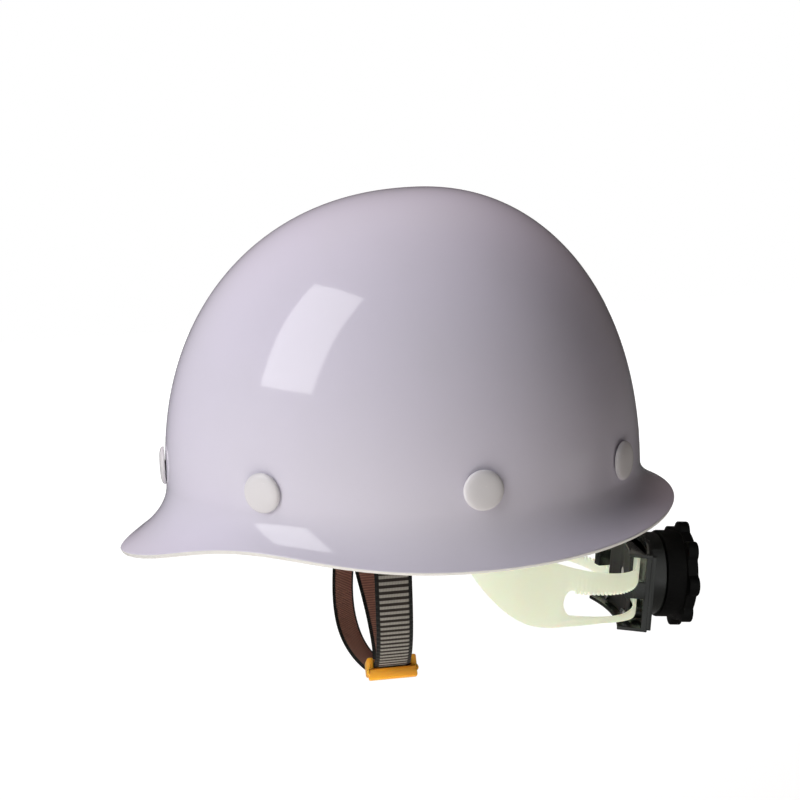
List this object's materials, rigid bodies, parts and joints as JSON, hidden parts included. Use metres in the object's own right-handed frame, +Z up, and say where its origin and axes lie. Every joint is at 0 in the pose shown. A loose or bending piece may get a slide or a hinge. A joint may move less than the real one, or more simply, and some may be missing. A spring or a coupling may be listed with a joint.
{
  "type": "safety helmet",
  "caption": "Cap-style safety helmet: glossy one-piece shell with a short peak, riveted webbing cradle, headband with a knob-and-rack nape adjuster, and a webbing chin strap with a slider.",
  "frame": {"origin": "centre of the head opening, level with the shell's rim over the ears", "axes": "+X is the wearer's left, -Y is the front, +Z is up towards the crown"},
  "size_m": [0.2234, 0.2917, 0.2444],
  "materials": {
    "shell": "smooth high-gloss gel coat over glass fibre",
    "rivet": "glossy moulded dome",
    "washer": "plain",
    "crown_webbing": "woven",
    "band": "smooth, slightly translucent",
    "hanger": "smooth",
    "sweatband": "soft, fine grain",
    "nape_strap": "smooth, slightly translucent",
    "adjuster": "satin moulding",
    "cover": "satin moulding",
    "screw": "plain",
    "pinion": "plain moulding",
    "detent": "plain moulding",
    "knob": "satin moulding",
    "stud": "plain moulding",
    "hook": "plain",
    "chin_webbing": "ribbed weave with dark edges",
    "slider": "smooth moulding"
  },
  "bodies": {
    "helmet": {"shell": "shell", "rivets": "rivet", "rivet_washers": "washer", "crown_strap_middle": "crown_webbing", "crown_strap_left": "crown_webbing", "crown_strap_side": "crown_webbing", "crown_strap_right": "crown_webbing", "headband": "band", "headband_hangers": "hanger", "sweatband": "sweatband", "chin_studs": "stud"},
    "adjuster": {"adjuster_body": "adjuster", "adjuster_cover": "cover", "cover_screws": "screw"},
    "knob": {"pinion": "pinion", "detent_spring": "detent", "knob": "knob", "knob_screw": "screw"},
    "nape_left": {"nape_strap_left": "nape_strap"},
    "nape_right": {"nape_strap_right": "nape_strap"},
    "chin": {"chin_strap": "chin_webbing", "chin_slider": "slider", "chin_hook_left": "hook", "chin_hook_right": "hook"}
  },
  "joints": [
    {"name": "adjuster_slide", "type": "slide", "parent": "helmet", "child": "adjuster", "axis": [0, -0.9945, 0.1045], "range_m": [0, 0.0136]},
    {"name": "knob_turn", "type": "hinge", "parent": "adjuster", "child": "knob", "pos_m": [0, 0.106, -0.0417], "axis": [0, -0.9945, 0.1045], "range_deg": [0, 180]},
    {"name": "nape_left_swing", "type": "hinge", "parent": "helmet", "child": "nape_left", "pos_m": [0.078, 0.01053, -0.03167], "axis": [0, 0.1045, 0.9945], "range_deg": [0, 10.1]},
    {"name": "nape_right_swing", "type": "hinge", "parent": "helmet", "child": "nape_right", "pos_m": [-0.078, 0.01053, -0.03167], "axis": [0, 0.1045, 0.9945], "range_deg": [-10.1, 0]},
    {"name": "chin_swing", "type": "hinge", "parent": "helmet", "child": "chin", "pos_m": [0, -0.0293, 0.016], "axis": [1, 0, 0], "range_deg": [-50, 25]}
  ],
  "couplings": [
    {"joint": "adjuster_slide", "follows": "knob_turn", "m_per_rad": 0.004294},
    {"joint": "nape_left_swing", "follows": "knob_turn", "ratio": 0.055322},
    {"joint": "nape_right_swing", "follows": "knob_turn", "ratio": -0.055322}
  ]
}
